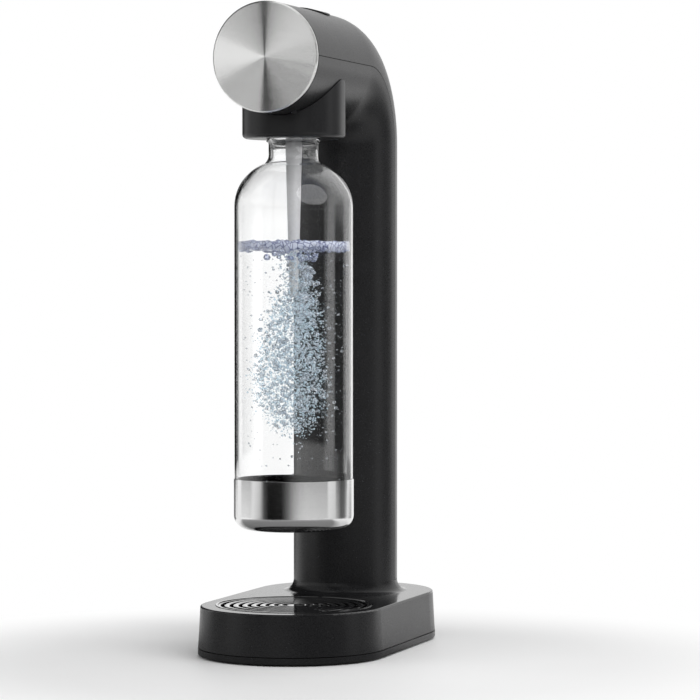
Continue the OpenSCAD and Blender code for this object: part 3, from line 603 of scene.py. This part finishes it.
def makeBottle(values):
    # The profile goes up outside, over the rim and down inside, and is turned round the axis.
    v = values
    e, steps = v["edge"], v["steps"]
    outer = bottleProfile(v, 0.0, 0.0, 0.0)
    inner = bottleProfile(v, v["wall"], v["neckWall"], v["swell"])[::-1]
    rim = np.array([
        [v["neck"], v["flangeFoot"]], [v["neck"] + e, v["flangeLow"]],
        [v["flange"] - e, v["flangeLow"]], [v["flange"], v["flangeLow"] + e],
        [v["flange"], v["flangeHigh"] - e], [v["flange"] - e, v["flangeHigh"]],
        [v["finish"] + e, v["flangeHigh"]], [v["finish"], v["flangeHigh"] + e],
        [v["finish"], v["beadLow"] - e], [v["bead"], v["beadLow"] + e],
        [v["bead"], v["beadMiddle"]], [v["finish"], v["beadHigh"]],
        [v["finish"], v["top"] - 2 * e], [v["finish"] - e, v["top"]],
        [v["bore"] + e, v["top"]], [v["bore"], v["top"] - e],
        [v["bore"], v["boreHigh"]], [v["neck"] - v["neckWall"], v["boreLow"]]])
    profile = np.concatenate([outer, rim, inner]) + np.array([0, shellLow.z])
    bottle = revolve("clear_bottle", profile, steps, (0, bottleY))
    bottle.data.materials.append(finishes["bottle_clear"])
    bottle.data.materials.append(finishes["bottle_inside"])
    outside = (len(outer) + len(rim) - 2) * steps       # faces from the foot to the top
    quads = (len(profile) - 3) * steps
    slots = np.zeros(len(bottle.data.polygons), dtype=np.int32)
    slots[outside:quads] = 1
    slots[quads + steps:] = 1                           # the inner pole's fan
    bottle.data.polygons.foreach_set("material_index", slots)
    bottle.visible_shadow = False                       # light reaches what stands behind the wall
    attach(bottle, "bottle")
    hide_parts("bottle_shell")


makeBottle(bottleValues)
print("bottle made")


water = clearPlastic("water", {
    "dark": (0.74, 0.80, 0.92), "light": (0.93, 0.96, 1.0), "cloud": 300.0,
    "haze": 0.06, "bend": 1.33, "gloss": 0.5, "wave": 0.003, "milk": 0.35,
    # painted shade: dark lines between the cells for the outlines of foam bubbles
    "cells": 330.0, "paintedOutlineWidth": (0.03, 0.1), "rim": (0.16, 0.18, 0.33)})
foamSkin = clearPlastic("foamSkin", {
    "dark": (0.76, 0.82, 0.94), "light": (0.97, 0.98, 1.0), "cloud": 300.0,
    "haze": 0.03, "bend": 1.2, "gloss": 0.7, "wave": 0.0004, "milk": 0.1,
    # painted shade: dark lines between the cells for the outlines of foam bubbles
    "cells": 420.0, "paintedOutlineWidth": (0.03, 0.1), "rim": (0.2, 0.23, 0.4)})
clearGas = clearPlastic("clearBubbles", {
    "dark": (0.62, 0.70, 0.78), "light": (0.97, 0.98, 1.0), "cloud": 500.0,
    "haze": 0.02, "bend": 1.3, "gloss": 1.0, "wave": 0.0002, "milk": 0.06})
gas = clearPlastic("gasBubbles", {
    "dark": (0.50, 0.70, 0.82), "light": (0.95, 0.99, 1.0), "cloud": 250.0,
    "haze": 0.06, "bend": 1.12, "gloss": 0.9, "wave": 0.0002, "milk": 0.28})


def dress(piece, material):
    piece.data.materials.append(material)
    piece.visible_shadow = False
    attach(piece, "bottle")


waterValues = {             # heights above the bottle's foot
    "level": 0.1868, "depth": 0.0052, "radius": 0.03745, "gap": 0.0009,
    "waveHeight": 0.0013, "calmTop": 0.3, "steps": 160, "rings": 30,
}


def makeSurface(values):
    # A round slab. Its height adds the waves 0.35 cos(900 r + 3 cos 2t) + 0.5 cos(7t + 160 r)
    # + 0.35 cos(19t - 90 r), which grow from the middle to the wall.
    level, depth = shellLow.z + values["level"], values["depth"]
    radius, rings = values["radius"] - values["gap"], values["rings"]
    across = np.linspace(0, radius, rings)
    under = np.stack([across, np.full(rings, level - depth)], axis=1)
    top = np.stack([across[::-1], np.full(rings, level)], axis=1)

    def ripple(r, t, z):
        below = np.where(z < level - depth / 2, 1.0, values["calmTop"])
        waves = (np.cos(900 * r + 3 * np.cos(2 * t)) * 0.35 + np.cos(7 * t + 160 * r) * 0.5
                 + np.cos(19 * t - 90 * r) * 0.35)
        return values["waveHeight"] * (r / radius) * below * waves

    profile = np.concatenate([under, top])
    dress(revolve("water_surface", profile, values["steps"], (0, bottleY), ripple), water)


bubbleValues = {            # distances from the tube, and heights above the bottle's foot
    "seed": 11, "right": (0.9467, 0.3221),
    "plumeHeights": [0.0623, 0.0673, 0.0733, 0.0833, 0.0963, 0.1163,
                     0.1293, 0.1453, 0.1553, 0.1683, 0.1803],
    "plumeLeft": [-0.008, -0.016, -0.021, -0.027, -0.029, -0.025,
                  -0.021, -0.016, -0.010, -0.008, -0.006],
    "plumeRight": [0.007, 0.012, 0.017, 0.022, 0.021, 0.020, 0.018, 0.016, 0.012, 0.009, 0.008],
    "plumeTop": 0.1828, "plumeNear": (0.1383, 0.1833), "plumeReach": 0.0360, "plumeDepth": 0.009,
    "clumps": 60, "clumpSpread": (0.0028, 0.0036),
    "swarm": {"count": 4400, "heights": (0.0613, 0.1563), "radius": 0.00044, "spread": 0.32,
              "limits": (0.00024, 0.0009), "flat": (0.6, 1.0), "ball": (6, 2), "warp": 0.0},
    "blobs": {"count": 1100, "heights": (0.0643, 0.1543), "radius": 0.0008, "spread": 0.38,
              "limits": (0.0005, 0.0024), "flat": (0.45, 0.95), "ball": (8, 3), "warp": 0.0006},
    "pockets": {"count": 26, "aside": (0.004, 0.015), "away": (-0.006, 0.006),
                "heights": (0.1443, 0.1723), "limits": (0.0012, 0.0026), "flat": (0.3, 0.6),
                "ball": (20, 9), "warp": 0.0006},
    "drift": {"count": 420, "reach": 0.0355, "low": 0.0163, "span": 0.162, "radius": 0.00046,
              "spread": 0.42, "limits": (0.0002, 0.0013), "flat": (0.75, 1.0), "ball": (8, 3)},
    "foam": {"count": 420, "limits": (0.0009, 0.0026), "gap": 0.0001, "flat": (0.55, 0.95),
             "ball": (10, 3), "hanging": 0.12, "hangReach": 0.020, "hangDepth": 0.007},
}


def makeBubbles(values, surface):
    # Every group: random places inside the bottle, and a ball at each of them.
    chance = np.random.default_rng(values["seed"])
    right = np.array([*values["right"], 0.0])
    back = np.array([-right[1], right[0], 0.0])

    def inBottle(side, away, height):
        # middle of the foot + side * right + away * back + height * up
        places = np.array([0.0, bottleY, shellLow.z]) + side[:, None] * right + away[:, None] * back
        return places + height[:, None] * np.array([0.0, 0.0, 1.0])

    def sizes(group):
        # Radius * e^(spread * a normal draw), kept between the limits.
        draws = chance.lognormal(math.log(group["radius"]), group["spread"], group["count"])
        return np.clip(draws, *group["limits"])

    def plume(count, low, high):
        # Heights spread over the plume, a sixth of them near its top, sideways places between its
        # two edges, and every bubble drawn towards one of a few dozen gathering points.
        height = low + (high - low) * chance.beta(1.5, 1.6, count)
        near = count // 6
        height[:near] = chance.uniform(*values["plumeNear"], near)
        leftEdge = np.interp(height, values["plumeHeights"], values["plumeLeft"])
        rightEdge = np.interp(height, values["plumeHeights"], values["plumeRight"])
        side = leftEdge + (rightEdge - leftEdge) * chance.beta(1.5, 1.5, count)
        clump = chance.integers(0, values["clumps"], count)
        side = side + gather[clump, 0]
        height = np.minimum(height + gather[clump, 1], values["plumeTop"])
        room = np.sqrt(np.maximum(values["plumeReach"] ** 2 - side ** 2, 1e-6))
        away = np.clip(chance.normal(0, values["plumeDepth"], count), -room, room)
        return inBottle(side, away, height)

    gather = chance.normal(0, 1, (values["clumps"], 2)) * np.array(values["clumpSpread"])
    for name, finish in (("swarm", gas), ("blobs", clearGas)):
        group = values[name]
        radii = sizes(group)
        spots = plume(group["count"], *group["heights"])
        flat = chance.uniform(*group["flat"], group["count"])
        dress(scatterBalls("bubble_" + name, spots, radii, flat, group["ball"], group["warp"]), finish)

    # Pockets: a few wide, thin ones to the right of the tube, under the surface.
    group = values["pockets"]
    count = group["count"]
    spots = inBottle(chance.uniform(*group["aside"], count), chance.normal(*group["away"], count),
                     chance.uniform(*group["heights"], count))
    radii = chance.uniform(*group["limits"], count)
    flat = chance.uniform(*group["flat"], count)
    dress(scatterBalls("bubble_pockets", spots, radii, flat, group["ball"], group["warp"]), clearGas)

    # Drift: small bubbles anywhere under the surface.
    group = values["drift"]
    count = group["count"]
    reach = group["reach"] * np.sqrt(chance.random(count))
    turn = chance.uniform(0, 2 * math.pi, count)
    height = group["low"] + group["span"] * chance.beta(1.8, 1.1, count)
    radii = sizes(group)
    flat = chance.uniform(*group["flat"], count)
    spots = inBottle(reach * np.cos(turn), reach * np.sin(turn), height)
    dress(scatterBalls("bubble_drift", spots, radii, flat, group["ball"]), clearGas)

    # Foam: larger bubbles packed at the surface, most of them against the wall.
    group = values["foam"]
    count = group["count"]
    radii = chance.uniform(*group["limits"], count)
    reach = (surface["radius"] - radii - group["gap"]) * np.sqrt(chance.uniform(0.5, 1.0, count))
    turn = chance.uniform(0, 2 * math.pi, count)
    height = surface["level"] - surface["depth"] * chance.uniform(0.1, 1.05, count)
    hang = chance.random(count) < group["hanging"]      # a few hang lower, nearer to the tube
    reach[hang] = group["hangReach"] * np.sqrt(chance.random(hang.sum()))
    under = surface["level"] - surface["depth"]
    height[hang] = under - group["hangDepth"] * chance.random(hang.sum())
    flat = chance.uniform(*group["flat"], count)
    spots = inBottle(reach * np.cos(turn), reach * np.sin(turn), height)
    dress(scatterBalls("foam_bubbles", spots, radii, flat, group["ball"]), foamSkin)


makeSurface(waterValues)
makeBubbles(bubbleValues, waterValues)
print("water, foam and bubbles made")
